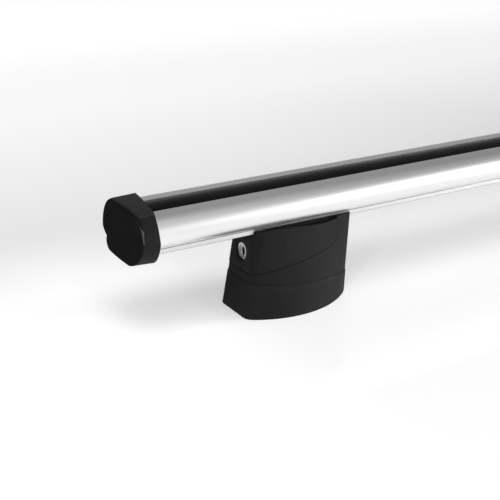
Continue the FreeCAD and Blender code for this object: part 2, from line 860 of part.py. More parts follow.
def slot_nut():
    """The steel plate with two threaded holes that slides in the bar's lower slot."""
    middle = sum(clamp_places()) / 2
    low = underside_height + lower_lip
    half = lower_channel_width / 2 - nut_fit
    high = low + nut_thickness
    inner = half - nut_chamfer
    right = [(inner, low), (half, low + nut_chamfer), (half, high - nut_chamfer), (inner, high)]
    points = right + [(-y, z) for y, z in reversed(right)]
    body = sharp_face(points, along(middle - nut_length / 2)).extrude(V(nut_length, 0, 0))
    thread = bolt_diameter / 2 + thread_fit
    holes = [rod_z(thread, low - over, high + over, x) for x in clamp_places()]
    return body.cut(holes)


def clamp_seat():
    """The underside of the bracket's top flange, where the washers lie."""
    return bracket_frame()["top"] - bracket_thickness


def clamp_bolts():
    """The two socket head bolts that pull the slot nut down onto the bar's lips."""
    seat = clamp_seat() - washer_thickness
    bolts = []
    for x in clamp_places():
        head = rod_z(bolt_head / 2, seat - bolt_diameter, seat, x)
        shank = rod_z(bolt_diameter / 2, seat, seat + bolt_length, x)
        socket = hexagon(bolt_socket, lambda a, b: V(x + a, b, seat - bolt_diameter - over))
        socket = socket.extrude(V(0, 0, over + bolt_diameter / 2))
        bolts.append(head.fuse(shank).cut(socket))
    return Part.makeCompound(bolts)


def clamp_washers():
    """One washer under each clamp bolt's head."""
    seat = clamp_seat()
    washers = []
    for x in clamp_places():
        disc = rod_z(washer_diameter / 2, seat - washer_thickness, seat, x)
        washers.append(disc.cut(rod_z(bolt_diameter / 2 + bolt_fit, seat - clear, seat + over, x)))
    return Part.makeCompound(washers)


def bracket_screws():
    """The two pan head screws that hold the bracket's web to the housing."""
    face = bracket_frame()["back"] - bracket_thickness
    screws = []
    for z in screw_heights:
        head = rod_x(screw_head / 2, face - screw_head_height, face, 0, z)
        shank = rod_x(screw_diameter / 2, face, face + screw_length - screw_tip_gap, 0, z)
        slot = box(face - screw_head_height - over, face - screw_head_height / 2,
                   -screw_slot / 2, screw_slot / 2, z - screw_head, z + screw_head)
        screws.append(head.fuse(shank).cut(slot))
    return Part.makeCompound(screws)


def mirrored(shape):
    """The opposite-handed piece at the other end of the bar."""
    return shape.mirror(V(0, 0, 0), V(1, 0, 0))


def turned(shape):
    """The same piece at the other end of the bar, turned half a turn."""
    copy = shape.copy()
    copy.rotate(V(0, 0, 0), V(0, 0, 1), 180)
    return copy


def build():
    left_cap = end_cap()
    pieces = {"bar_extrusion": bar_extrusion(), "top_rubber_strip": top_strip(),
              "left_end_cap": left_cap, "right_end_cap": mirrored(left_cap)}
    foot_pieces = {
        "foot_housing": housing,
        "foot_boot": boot,
        "foot_bracket": bracket,
        "bracket_screws": bracket_screws,
        "slot_nut": slot_nut,
        "clamp_bolts": clamp_bolts,
        "clamp_washers": clamp_washers,
        "foot_cover": cover,
        "lock_sleeve": lock_sleeve,
        "lock_clip": lock_clip,
        "lock_cylinder": lock_cylinder,
        "lock_cam": lock_cam,
        "lock_screw": lock_screw,
    }
    for name, make in foot_pieces.items():
        shape = make()
        pieces["left_" + name] = shape
        pieces["right_" + name] = turned(shape)
    return pieces


def main():
    os.makedirs("parts", exist_ok=True)
    for name, shape in build().items():
        shape.exportStep("parts/" + name + ".step")
        print(name, len(shape.Solids), round(shape.Volume), shape.isValid())


main()
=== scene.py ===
import math

import bpy
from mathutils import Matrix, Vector


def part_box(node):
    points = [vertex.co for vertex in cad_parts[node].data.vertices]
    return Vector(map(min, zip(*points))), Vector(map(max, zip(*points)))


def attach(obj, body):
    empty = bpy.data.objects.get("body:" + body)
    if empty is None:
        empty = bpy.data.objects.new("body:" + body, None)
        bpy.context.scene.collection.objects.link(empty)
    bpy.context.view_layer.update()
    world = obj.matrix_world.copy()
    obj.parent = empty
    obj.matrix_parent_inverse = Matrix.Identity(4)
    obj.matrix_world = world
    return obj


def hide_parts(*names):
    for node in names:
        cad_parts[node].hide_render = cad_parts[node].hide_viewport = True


bl_info = {
    "name": "Roof Crossbar",
    "version": (1, 0, 0),
    "blender": (4, 5, 0),
    "location": "View3D > Sidebar > Crossbar",
    "description": "Dresses a roof rack crossbar: bar, rubber strip, end caps, feet and locks",
    "category": "Add Mesh",
}

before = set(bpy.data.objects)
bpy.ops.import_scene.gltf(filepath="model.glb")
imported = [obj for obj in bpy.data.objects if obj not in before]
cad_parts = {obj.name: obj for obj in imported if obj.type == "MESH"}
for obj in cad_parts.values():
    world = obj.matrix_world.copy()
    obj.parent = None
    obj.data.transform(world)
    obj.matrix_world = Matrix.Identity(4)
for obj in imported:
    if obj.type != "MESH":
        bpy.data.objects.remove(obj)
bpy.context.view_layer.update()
SIDES = ("left", "right")
BAR_LOW, BAR_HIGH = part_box("bar_extrusion")
MERGE_DISTANCE = 1e-6
FLAT_ANGLE = math.radians(0.4)
SEED_SIZE = 0.001


def length(name, description, default):
    return bpy.props.FloatProperty(name=name, description=description, default=default,
                                   unit="LENGTH")


def colour_of(name, description, default):
    return bpy.props.FloatVectorProperty(name=name, description=description, default=default,
                                         subtype="COLOR", size=3, min=0, max=1)


def power_of(name, description, default):
    return bpy.props.FloatProperty(name=name, description=description, default=default,
                                   unit="POWER", min=0)


class BarSizes(bpy.types.PropertyGroup):
    """Sizes of the bar's section and its rubber strip"""
    width: length("Width", "Greatest width of the bar", 0.060)
    height: length("Height", "Height of the bar without its strip", 0.030)
    underside: length("Underside", "Height of the bar's underside", 0.060)
    shoulder: length("Shoulder", "Half width of the crowned top", 0.021)
    crown: length("Crown", "Rise of the top's middle over its shoulders", 0.0006)
    widest: length("Widest", "Height of the widest line over the underside", 0.019)
    lip_width: length("Lip width", "Width of the lip under the bar", 0.025)
    lip_height: length("Lip height", "Height of the lip under the bar", 0.0034)
    groove: length("Groove", "Depth of the groove over the lip", 0.0008)
    wall: length("Wall", "Thickness of the bar's skin", 0.0022)
    seat: length("Seat", "Width of the strip's seat", 0.0226)
    strip_rise: length("Strip rise", "How far the strip stands out of its seat", 0.0008)
    strip_crown: length("Strip crown", "Rise of the strip's middle over its edges", 0.0012)


class FinishColours(bpy.types.PropertyGroup):
    """Colours of the crossbar's finishes"""
    aluminium: colour_of("Aluminium", "Satin anodised bar", (0.82, 0.82, 0.825))
    strip: colour_of("Strip", "Rubber strip on the bar", (0.003, 0.003, 0.003))
    plastic: colour_of("Plastic", "Moulded end caps, housings and covers", (0.0172, 0.0172, 0.0175))
    boot: colour_of("Boot", "Rubber boots under the feet", (0.0187, 0.0187, 0.019))
    zinc: colour_of("Zinc", "Zinc plated steel inside the feet", (0.56, 0.57, 0.58))
    lock: colour_of("Lock", "Die-cast lock face", (0.55, 0.55, 0.55))
    floor: colour_of("Floor", "Studio floor", (0.84, 0.84, 0.84))


class StageSettings(bpy.types.PropertyGroup):
    """Camera and light of the studio"""
    focal: bpy.props.FloatProperty(name="Focal length", default=69.12, unit="CAMERA",
                                   description="Camera's focal length on a 36 mm sensor")
    eye: bpy.props.FloatVectorProperty(name="Eye", description="Place of the camera", size=3,
                                       unit="LENGTH", default=(-0.82627, -0.53947, 0.29304))
    pitch: bpy.props.FloatProperty(name="Pitch", description="How far the camera looks down",
                                   default=math.radians(21.65), subtype="ANGLE")
    heading: bpy.props.FloatProperty(name="Heading", default=math.radians(30.84), subtype="ANGLE",
                                     description="Turn of the camera from the bar's square")
    sky: bpy.props.FloatProperty(name="Sky", description="Brightness of the room",
                                 default=1.0, min=0)
    # The table's glow is painted light.
    table: bpy.props.FloatProperty(name="Table", description="Glow of the table, lit from below",
                                   default=0.27, min=0)
    key: power_of("Side light", "Power of the softbox at the right", 285)
    top: power_of("Top light", "Power of the softbox over the cap", 20)
    edge: power_of("Edge light", "Power of the narrow softbox at the left", 12)


def leave_edit_mode():
    if bpy.context.object is not None and bpy.context.object.mode != "OBJECT":
        bpy.ops.object.mode_set(mode="OBJECT")


def select_none():
    leave_edit_mode()
    bpy.ops.object.select_all(action="DESELECT")


def make_active(piece):
    select_none()
    piece.select_set(True)
    bpy.context.view_layer.objects.active = piece


def settle(piece):
    """Move the piece's place into its mesh, so that its object sits at the origin."""
    make_active(piece)
    bpy.ops.object.transform_apply(location=True, rotation=True, scale=True)


def drawn_loop(x, points):
    """Draw a closed outline at x, corner by corner, in the mesh that is being edited.

    A tiny plane that is merged into one point is the first corner.
    """
    bpy.ops.mesh.select_all(action="DESELECT")
    bpy.ops.mesh.primitive_plane_add(size=SEED_SIZE, location=(x, *points[0]))
    bpy.ops.mesh.merge(type="CENTER")
    place = points[0]
    for point in points[1:] + points[:1]:
        step = (0, point[0] - place[0], point[1] - place[1])
        bpy.ops.mesh.extrude_vertices_move(TRANSFORM_OT_translate={"value": step})
        place = point


def extruded_section(name, loops, x0, x1):
    """Make a length of extrusion: the first loop is its outline and the others are its hollows."""
    select_none()
    bpy.ops.mesh.primitive_plane_add(size=SEED_SIZE, location=(0, 0, 0))
    piece = bpy.context.object
    piece.name = name
    bpy.ops.object.mode_set(mode="EDIT")
    bpy.ops.mesh.select_all(action="SELECT")
    bpy.ops.mesh.delete(type="VERT")
    for loop in loops:
        drawn_loop(x0, loop)
    bpy.ops.mesh.select_all(action="SELECT")
    bpy.ops.mesh.remove_doubles(threshold=MERGE_DISTANCE)
    bpy.ops.mesh.select_all(action="SELECT")
    bpy.ops.mesh.fill(use_beauty=True)
    bpy.ops.mesh.select_all(action="SELECT")
    bpy.ops.mesh.extrude_region_move(TRANSFORM_OT_translate={"value": (x1 - x0, 0, 0)})
    bpy.ops.mesh.select_all(action="SELECT")
    bpy.ops.mesh.normals_make_consistent(inside=False)
    leave_edit_mode()
    settle(piece)
    return piece


def smooth(piece, angle):
    """Shade the piece smooth across edges that turn by less than the angle, in degrees."""
    make_active(piece)
    bpy.ops.object.shade_smooth_by_angle(angle=math.radians(angle))


def rounded(points, radii, steps=6):
    """Round the corners of an outline; a radius of 0 keeps a corner sharp."""
    result = []
    count = len(points)
    for index, (point, radius) in enumerate(zip(points, radii)):
        corner = Vector(point)
        if radius == 0:
            result.append(tuple(corner))
            continue
        before = (Vector(points[index - 1]) - corner).normalized()
        after = (Vector(points[(index + 1) % count]) - corner).normalized()
        half_angle = before.angle(after) / 2
        centre = corner + (before + after).normalized() * radius / math.sin(half_angle)
        start = corner + before * radius / math.tan(half_angle) - centre
        end = corner + after * radius / math.tan(half_angle) - centre
        for step in range(steps + 1):
            turned = start.lerp(end, step / steps).normalized() * radius
            result.append(tuple(centre + turned))
    return result


def arc_points(centre, radius, start, end, steps):
    """Points along an arc between two angles, both ends included."""
    angles = [start + (end - start) * step / steps for step in range(steps + 1)]
    return [(centre[0] + radius * math.cos(a), centre[1] + radius * math.sin(a)) for a in angles]


class SectionLines:
    """Lines of the bar's section that its outline and its side hollows share."""

    def __init__(self, sizes):
        self.top = sizes.underside + sizes.height
        self.base = sizes.underside
        half = sizes.width / 2
        fall = sizes.height - sizes.crown - sizes.widest
        run = half - sizes.shoulder
        self.radius = (run * run + fall * fall) / (2 * run)
        self.centre = (half - self.radius, sizes.underside + sizes.widest)
        self.lip = sizes.lip_width / 2
        self.lip_top = sizes.underside + sizes.lip_height
        foot = Vector((self.lip, self.lip_top + sizes.groove / 2))
        to_centre = Vector(self.centre) - foot
        steep = math.atan2(to_centre.y, to_centre.x)
        self.slope = steep - math.asin(self.radius / to_centre.length)
        self.below = self.slope - math.pi / 2


TOP_SLOT = {"seat_depth": 0.0022, "mouth": 0.011, "lip": 0.0022, "width": 0.020, "height": 0.006}
LOWER_SLOT = {"mouth": 0.012, "lip": 0.0032, "width": 0.0194, "height": 0.007}
WEB = 0.002
SOFT_CORNER = 0.001
LIP_EDGE = 0.0006
NEAR = 0.0001
SHOULDER_STEPS, CROWN_STEPS, HOLLOW_STEPS, STRIP_STEPS, CORNER_STEPS = 40, 6, 12, 24, 3
STRIP_GAP = 0.00015
STRIP_LEG = {"wall": 0.0015, "barb": 0.0016, "tip": 0.002}
STRIP_EDGE = 0.0003
STRIP_CROWN_SHARE = 0.97


def bar_outline(sizes):
    """The bar's outline, down into both of its slots."""
    lines = SectionLines(sizes)
    half_seat = sizes.seat / 2
    seat_floor = lines.top - TOP_SLOT["seat_depth"]
    roof = seat_floor - TOP_SLOT["lip"]
    floor = roof - TOP_SLOT["height"]
    low_floor = lines.base + LOWER_SLOT["lip"]
    low_roof = low_floor + LOWER_SLOT["height"]
    shoulder_height = lines.top - sizes.crown
    crown_radius = (sizes.shoulder ** 2 + sizes.crown ** 2) / (2 * sizes.crown)
    crown_centre = (0, lines.top - crown_radius)
    crown_end = math.pi / 2 - math.asin(sizes.shoulder / crown_radius)
    crown_start = math.pi / 2 - math.asin(half_seat / crown_radius)
    edge_height = crown_centre[1] + math.sqrt(crown_radius ** 2 - half_seat ** 2)
    shoulder_angle = math.atan2(shoulder_height - lines.centre[1],
                                sizes.shoulder - lines.centre[0])
    side = arc_points(lines.centre, lines.radius, shoulder_angle, lines.below, SHOULDER_STEPS)
    tangent = side[-1]
    side_end = tangent[1] - (tangent[0] - lines.lip) * math.tan(lines.slope)
    groove = lines.lip - sizes.groove
    top_wall, top_mouth = TOP_SLOT["width"] / 2, TOP_SLOT["mouth"] / 2
    low_wall, low_mouth = LOWER_SLOT["width"] / 2, LOWER_SLOT["mouth"] / 2
    half = rounded([(top_wall, floor), (top_wall, roof), (top_mouth, roof),
                    (top_mouth, seat_floor), (half_seat, seat_floor), (half_seat, edge_height)],
                   [0, SOFT_CORNER, 0, 0, 0, 0])
    half += arc_points(crown_centre, crown_radius, crown_start, crown_end, CROWN_STEPS)[1:-1]
    half += side
    half += [(lines.lip, side_end), (groove, side_end), (groove, lines.lip_top)]
    half += rounded([(lines.lip, lines.lip_top), (lines.lip, lines.base), (low_mouth, lines.base),
                     (low_mouth, low_floor), (low_wall, low_floor), (low_wall, low_roof)],
                    [0, LIP_EDGE, 0, 0, SOFT_CORNER, 0], CORNER_STEPS)
    return half + [(-y, z) for y, z in reversed(half)]


def side_hollow(sizes):
    """The hollow at one side of the bar."""
    lines = SectionLines(sizes)
    inner = lines.radius - sizes.wall
    near = TOP_SLOT["width"] / 2 + sizes.wall
    ceiling = lines.top - sizes.crown - sizes.wall
    start = math.asin(min((ceiling - lines.centre[1]) / inner, 1))
    side = arc_points(lines.centre, inner, start, lines.below, HOLLOW_STEPS)
    floor = side[-1][1] - (side[-1][0] - near) * math.tan(lines.slope)
    return [(near, ceiling)] + side + [(near, floor)]


def middle_hollow(sizes):
    """The hollow between the two slots."""
    lines = SectionLines(sizes)
    low = lines.base + LOWER_SLOT["lip"] + LOWER_SLOT["height"] + WEB
    high = lines.top - TOP_SLOT["seat_depth"] - TOP_SLOT["lip"] - TOP_SLOT["height"] - WEB
    half = TOP_SLOT["width"] / 2
    corners = [(-half, low), (half, low), (half, high), (-half, high)]
    return rounded(corners, [SOFT_CORNER] * 4, CORNER_STEPS)


def strip_outline(sizes):
    """The rubber strip's section: a crowned top with soft edges, and two barbed legs."""
    lines = SectionLines(sizes)
    half = sizes.seat / 2 - STRIP_GAP
    seat_floor = lines.top - TOP_SLOT["seat_depth"]
    crest = lines.top + sizes.strip_rise
    edge = crest - sizes.strip_crown
    outer = TOP_SLOT["mouth"] / 2 - STRIP_GAP
    inner = outer - STRIP_LEG["wall"]
    under = seat_floor - TOP_SLOT["lip"] - STRIP_GAP
    tip = under - STRIP_LEG["tip"]
    radius = (half ** 2 + sizes.strip_crown ** 2) / (2 * sizes.strip_crown)
    reach = math.asin(half / radius)
    top = arc_points((0, crest - radius), radius, math.pi / 2 - reach * STRIP_CROWN_SHARE,
                     math.pi / 2 + reach * STRIP_CROWN_SHARE, STRIP_STEPS)
    right = [(inner, seat_floor), (inner, tip), (outer, tip), (outer + STRIP_LEG["barb"], under),
             (outer, under), (outer, seat_floor), (half, seat_floor), (half, edge - STRIP_EDGE)]
    return right + top + [(-y, z) for y, z in reversed(right)]


HARD_ANGLE = math.radians(28)
SOFT_SHADE_ANGLE = 40
PROFILE_SHADE_ANGLE = 24


def softened(node, name, width, finish, edge_finish=None, segments=2):
    """Copy a CAD node's shape as a closed mesh, round its hard edges and put finishes on it.

    Faces take the first finish, and the rounded edges take the edge finish where one is given.
    """
    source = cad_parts[node]
    piece = bpy.data.objects.new(name, source.data.copy())
    bpy.context.scene.collection.objects.link(piece)
    make_active(piece)
    bpy.ops.object.mode_set(mode="EDIT")
    bpy.ops.mesh.select_all(action="SELECT")
    bpy.ops.mesh.customdata_custom_splitnormals_clear()
    bpy.ops.mesh.remove_doubles(threshold=MERGE_DISTANCE)
    bpy.ops.mesh.dissolve_limited(angle_limit=FLAT_ANGLE)
    leave_edit_mode()
    piece.data.materials.clear()
    piece.data.materials.append(finish)
    piece.data.polygons.foreach_set("material_index", [0] * len(piece.data.polygons))
    bevel = piece.modifiers.new("soft edges", "BEVEL")
    bevel.width = width
    bevel.segments = segments
    bevel.limit_method = "ANGLE"
    bevel.angle_limit = HARD_ANGLE
    bevel.use_clamp_overlap = True
    if edge_finish is not None:
        piece.data.materials.append(edge_finish)
        bevel.material = 1
    bpy.ops.object.modifier_apply(modifier=bevel.name)
    smooth(piece, SOFT_SHADE_ANGLE)
    return piece


RANGE_SOCKETS = ("From Min", "From Max", "To Min", "To Max")


class Finish:
    """A node tree for one finish, with short ways to add its nodes."""

    def __init__(self, name):
        self.material = bpy.data.materials.new(name)
        self.material.use_nodes = True
        self.tree = self.material.node_tree
        self.shader = self.tree.nodes["Principled BSDF"]
        self.coordinates = self.node("ShaderNodeTexCoord").outputs["Object"]

    def node(self, kind, **settings):
        node = self.tree.nodes.new(kind)
        for key, value in settings.items():
            setattr(node, key, value)
        return node

    def link(self, start, end):
        self.tree.links.new(start, end)

    def mapped(self, scale):
        mapping = self.node("ShaderNodeMapping")
        mapping.inputs["Scale"].default_value = scale
        self.link(self.coordinates, mapping.inputs["Vector"])
        return mapping.outputs["Vector"]

    def noise(self, size, detail=2.0, roughness=0.5, stretch=(1, 1, 1)):
        """Noise with features about size metres across; a stretch under 1 lengthens them."""
        noise = self.node("ShaderNodeTexNoise")
        noise.inputs["Scale"].default_value = 1 / size
        noise.inputs["Detail"].default_value = detail
        noise.inputs["Roughness"].default_value = roughness
        self.link(self.mapped(stretch), noise.inputs["Vector"])
        return noise.outputs["Fac"]

    def cells(self, size):
        """Distance to the middle of cells that are about size metres across."""
        cells = self.node("ShaderNodeTexVoronoi", feature="F1")
        cells.inputs["Scale"].default_value = 1 / size
        self.link(self.coordinates, cells.inputs["Vector"])
        return cells.outputs["Distance"]

    def ramp(self, value, stops):
        """Turn a value into a colour by its (place, colour) stops."""
        ramp = self.node("ShaderNodeValToRGB")
        elements = ramp.color_ramp.elements
        while len(elements) < len(stops):
            elements.new(0.5)
        for element, (place, colour) in zip(elements, stops):
            element.position = place
            element.color = (*colour, 1)
        self.link(value, ramp.inputs["Fac"])
        return ramp.outputs["Color"]

    def span(self, value, low, high, source=(0.3, 0.7)):
        """Map a value from its source range to the range between low and high."""
        span = self.node("ShaderNodeMapRange")
        for key, number in zip(RANGE_SOCKETS, (*source, low, high)):
            span.inputs[key].default_value = number
        self.link(value, span.inputs["Value"])
        return span.outputs["Result"]

    def bump(self, height, depth, strength, under=None):
        """A normal for relief of a depth in metres, on top of the normal under it."""
        bump = self.node("ShaderNodeBump")
        bump.inputs["Distance"].default_value = depth
        bump.inputs["Strength"].default_value = strength
        self.link(height, bump.inputs["Height"])
        if under is not None:
            self.link(under, bump.inputs["Normal"])
        return bump.outputs["Normal"]

    def base(self, value, stops):
        """Colour the finish by a value's stops."""
        self.link(self.ramp(value, stops), self.shader.inputs["Base Color"])

    def set(self, **sockets):
        """Set the shader's sockets, with an underscore for each space in a socket's name."""
        for key, value in sockets.items():
            self.shader.inputs[key.replace("_", " ")].default_value = value


def shade(colour, factor):
    """The colour made darker or lighter by a factor."""
    return tuple(min(1, part * factor) for part in colour)


def anodised_aluminium(name, colour):
    """Satin anodised extrusion, with faint die lines along its length."""
    finish = Finish(name)
    die_lines = finish.noise(0.0009, 3, 0.6, stretch=(0.004, 1, 1))
    cloud = finish.noise(0.09, 2, 0.5, stretch=(0.3, 1, 1))
    grain = finish.noise(0.00035, 2, 0.5)
    finish.base(die_lines, [(0.3, shade(colour, 0.975)), (0.7, shade(colour, 1.02))])
    rough = finish.node("ShaderNodeMath", operation="ADD")
    finish.link(finish.span(cloud, 0.34, 0.36), rough.inputs[0])
    finish.link(finish.span(die_lines, -0.015, 0.015), rough.inputs[1])
    finish.link(rough.outputs[0], finish.shader.inputs["Roughness"])
    fine = finish.bump(grain, 0.000002, 0.4)
    finish.link(finish.bump(die_lines, 0.0000015, 0.5, fine), finish.shader.inputs["Normal"])
    finish.set(Metallic=1.0)
    return finish.material


def moulded_plastic(name, colour, grain=0.0006, gloss=0.02):
    """Black plastic from a spark-eroded mould: fine even texture, and faint shine differences."""
    finish = Finish(name)
    pits = finish.cells(grain)
    cloud = finish.noise(0.02, 3, 0.5)
    finish.base(cloud, [(0.3, shade(colour, 0.92)), (0.7, shade(colour, 1.1))])
    finish.link(finish.span(cloud, 0.5, 0.58), finish.shader.inputs["Roughness"])
    fine = finish.bump(finish.noise(grain / 3, 2, 0.6), grain / 40, 0.5)
    finish.link(finish.bump(pits, grain / 20, 0.6, fine), finish.shader.inputs["Normal"])
    finish.set(Specular_IOR_Level=gloss)
    return finish.material


def worn_edge(name, colour, gloss=0.5):
    """The same plastic where an edge is rubbed smooth and shines."""
    finish = Finish(name)
    cloud = finish.noise(0.004, 2, 0.5)
    finish.base(cloud, [(0.3, shade(colour, 0.7)), (0.7, shade(colour, 0.9))])
    finish.link(finish.span(cloud, 0.3, 0.38), finish.shader.inputs["Roughness"])
    finish.set(Specular_IOR_Level=gloss)
    return finish.material


def soft_rubber(name, colour, grain=0.0005, gloss=0.02, rough=0.6):
    """Moulded rubber: matt, with a soft sheen and a fine bloom."""
    finish = Finish(name)
    bloom = finish.noise(0.03, 4, 0.6)
    fine = finish.noise(grain, 3, 0.6)
    finish.base(bloom, [(0.3, shade(colour, 0.88)), (0.7, shade(colour, 1.15))])
    finish.link(finish.span(bloom, rough - 0.04, rough + 0.04), finish.shader.inputs["Roughness"])
    finish.link(finish.bump(fine, grain / 25, 0.7), finish.shader.inputs["Normal"])
    finish.set(Specular_IOR_Level=gloss)
    return finish.material


def zinc_plate(name, colour, lines=(1, 1, 1)):
    """Zinc plated steel, with a faint crystal pattern and rolling marks."""
    finish = Finish(name)
    flakes = finish.cells(0.0011)
    marks = finish.noise(0.0008, 3, 0.6, stretch=lines)
    finish.base(flakes, [(0.1, shade(colour, 0.88)), (0.8, shade(colour, 1.1))])
    finish.link(finish.span(marks, 0.28, 0.4), finish.shader.inputs["Roughness"])
    finish.link(finish.bump(marks, 0.00001, 0.6), finish.shader.inputs["Normal"])
    finish.set(Metallic=1.0)
    return finish.material


WAVE_RADIANS = 20


def threaded_steel(name, colour, pitch, axis):
    """Zinc plated fastener with a thread along one axis."""
    finish = Finish(name)
    turns = finish.node("ShaderNodeTexWave", wave_type="BANDS", bands_direction=axis,
                        wave_profile="TRI")
    turns.inputs["Scale"].default_value = 1 / (pitch * WAVE_RADIANS) * 2 * math.pi
    finish.link(finish.coordinates, turns.inputs["Vector"])
    flakes = finish.cells(0.0008)
    finish.base(flakes, [(0.1, shade(colour, 0.85)), (0.8, shade(colour, 1.1))])
    finish.link(finish.span(finish.noise(0.002), 0.26, 0.38), finish.shader.inputs["Roughness"])
    finish.link(finish.bump(turns.outputs["Fac"], pitch / 4, 0.6), finish.shader.inputs["Normal"])
    finish.set(Metallic=1.0)
    return finish.material


def lock_metal(name, colour):
    """Satin chromed die casting."""
    finish = Finish(name)
    cloud = finish.noise(0.002, 3, 0.6)
    finish.base(cloud, [(0.3, shade(colour, 0.94)), (0.7, shade(colour, 1.06))])
    finish.link(finish.span(cloud, 0.3, 0.4), finish.shader.inputs["Roughness"])
    grain = finish.noise(0.0003, 2, 0.6)
    finish.link(finish.bump(grain, 0.000006, 0.6), finish.shader.inputs["Normal"])
    finish.set(Metallic=1.0)
    return finish.material


def wear(piece, material):
    piece.data.materials.clear()
    piece.data.materials.append(material)


def dress(node, material):
    """Put a finish on a CAD node that keeps its own shape."""
    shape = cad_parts[node]
    if not shape.material_slots:
        shape.data.materials.append(material)
    for slot in shape.material_slots:
        slot.material = material


LIP_SHADED_FACE, LIP_SHADOW = 1, 2
UPRIGHT = 0.99


def mark_lip(bar, sizes):
    """Put painted shade on the lip: a darker copy of the aluminium on its upright face, and a much
    darker one on its rounded lower edge and its groove.
    """
    lip_side, lip_top = sizes.lip_width / 2, sizes.underside + sizes.lip_height
    for polygon in bar.data.polygons:
        outward, upward = abs(polygon.center.y) - lip_side, polygon.center.z - lip_top
        if abs(polygon.normal.x) > 0.5 or not -sizes.groove - NEAR < outward < NEAR:
            continue
        if upward <= -NEAR and abs(polygon.normal.y) > UPRIGHT:
            polygon.material_index = LIP_SHADED_FACE
        elif upward < sizes.groove:
            polygon.material_index = LIP_SHADOW


class CROSSBAR_OT_bar(bpy.types.Operator):
    """Make the extruded bar"""
    bl_idname = "crossbar.bar"
    bl_label = "Make the bar"

    def execute(self, context):
        sizes = context.scene.crossbar_bar
        hollow = side_hollow(sizes)
        other_hollow = [(-y, z) for y, z in reversed(hollow)]
        loops = [bar_outline(sizes), hollow, other_hollow, middle_hollow(sizes)]
        bar = extruded_section("bar_profile", loops, BAR_LOW.x, BAR_HIGH.x)
        smooth(bar, PROFILE_SHADE_ANGLE)
        colour = context.scene.crossbar_colours.aluminium
        wear(bar, anodised_aluminium("satin anodised aluminium", colour))
        # Darker copies of the aluminium for the lip: painted shade on its face, and a painted
        # shadow line along its lower edge and groove.
        bar.data.materials.append(anodised_aluminium("lip painted shade aluminium", shade(colour, 0.87)))
        bar.data.materials.append(anodised_aluminium("lip edge painted shadow aluminium", shade(colour, 0.5)))
        mark_lip(bar, sizes)
        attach(bar, "bar")
        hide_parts("bar_extrusion")
        return {"FINISHED"}


class CROSSBAR_OT_strip(bpy.types.Operator):
    """Make the rubber strip in the bar's top slot"""
    bl_idname = "crossbar.strip"
    bl_label = "Make the rubber strip"

    def execute(self, context):
        low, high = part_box("top_rubber_strip")
        outline = strip_outline(context.scene.crossbar_bar)
        strip = extruded_section("top_strip", [outline], low.x, high.x)
        smooth(strip, PROFILE_SHADE_ANGLE)
        colour = context.scene.crossbar_colours.strip
        wear(strip, soft_rubber("strip rubber", colour, gloss=0.03, rough=0.28))
        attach(strip, "bar")
        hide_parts("top_rubber_strip")
        return {"FINISHED"}


CAP_EDGE, CAP_FACE, CAP_LIT_TOP = 1, 2, 3
CAP_NORMALS = {"top": 0.85, "face": 0.2, "flat_face": 0.95, "rubbed_side": 0.4, "rubbed_top": 0.62}


def mark_cap(cap):
    """Put the cap's finishes on its top, its face and the rubbed edge between them; the top takes a
    lighter copy, painted light on the upward faces.
    """
    for polygon in cap.data.polygons:
        along, across, up = abs(polygon.normal.x), abs(polygon.normal.y), polygon.normal.z
        if up > CAP_NORMALS["top"]:
            polygon.material_index = CAP_LIT_TOP
        elif along > CAP_NORMALS["face"]:
            slanted = along < CAP_NORMALS["flat_face"] and across > CAP_NORMALS["rubbed_side"]
            rubbed = slanted and 0 < up < CAP_NORMALS["rubbed_top"]
            polygon.material_index = CAP_EDGE if rubbed else CAP_FACE


class CROSSBAR_OT_end_caps(bpy.types.Operator):
    """Make the two end caps"""
    bl_idname = "crossbar.end_caps"
    bl_label = "Make the end caps"

    def execute(self, context):
        colour = context.scene.crossbar_colours.plastic
        band = moulded_plastic("end cap plastic", shade(colour, 0.78), gloss=0.04)
        edge = worn_edge("end cap edge", colour, 1.0)
        face = moulded_plastic("end cap face", shade(colour, 0.78), 0.0007, gloss=0)
        # The top is a lighter, glossier copy of the cap plastic: painted light from above.
        top = moulded_plastic("end cap top painted light", shade(colour, 0.8), gloss=0.28)
        for side in SIDES:
            cap = softened(f"{side}_end_cap", f"{side}_cap", 0.0003, band, edge)
            cap.data.materials.append(face)
            cap.data.materials.append(top)
            mark_cap(cap)
            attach(cap, "bar")
            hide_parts(f"{side}_end_cap")
        return {"FINISHED"}


class CROSSBAR_OT_feet(bpy.types.Operator):
    """Make the housings, boots and covers of the two feet"""
    bl_idname = "crossbar.feet"
    bl_label = "Make the feet"

    def execute(self, context):
        colours = context.scene.crossbar_colours
        housing = moulded_plastic("housing plastic", colours.plastic, 0.0007)
        cover = moulded_plastic("cover plastic", colours.plastic, 0.0006)
        edge = worn_edge("foot edge", colours.plastic, 0.3)
        boot = soft_rubber("boot rubber", colours.boot, 0.0006)
        boot_edge = worn_edge("boot edge", colours.boot, 0.15)
        shells = (
            ("foot_housing", "housing", "foot", "housing_plastic", housing, edge, 0.0003),
            ("foot_boot", "boot", "foot", "boot_rubber", boot, boot_edge, 0.0005),
            ("foot_cover", "cover", "cover", "cover_plastic", cover, edge, 0.0004))
        for side in SIDES:
            for part, name, body, slot, finish, edge_finish, width in shells:
                piece = softened(f"{side}_{part}", f"{side}_{name}", width, finish, edge_finish)
                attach(piece, f"{side}_{body}")
                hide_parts(f"{side}_{part}")
        return {"FINISHED"}


KEYWAY_SHADE_DEPTHS = (0.0003, 0.012)
KEYWAY_SHADE_RADIUS = 0.0041


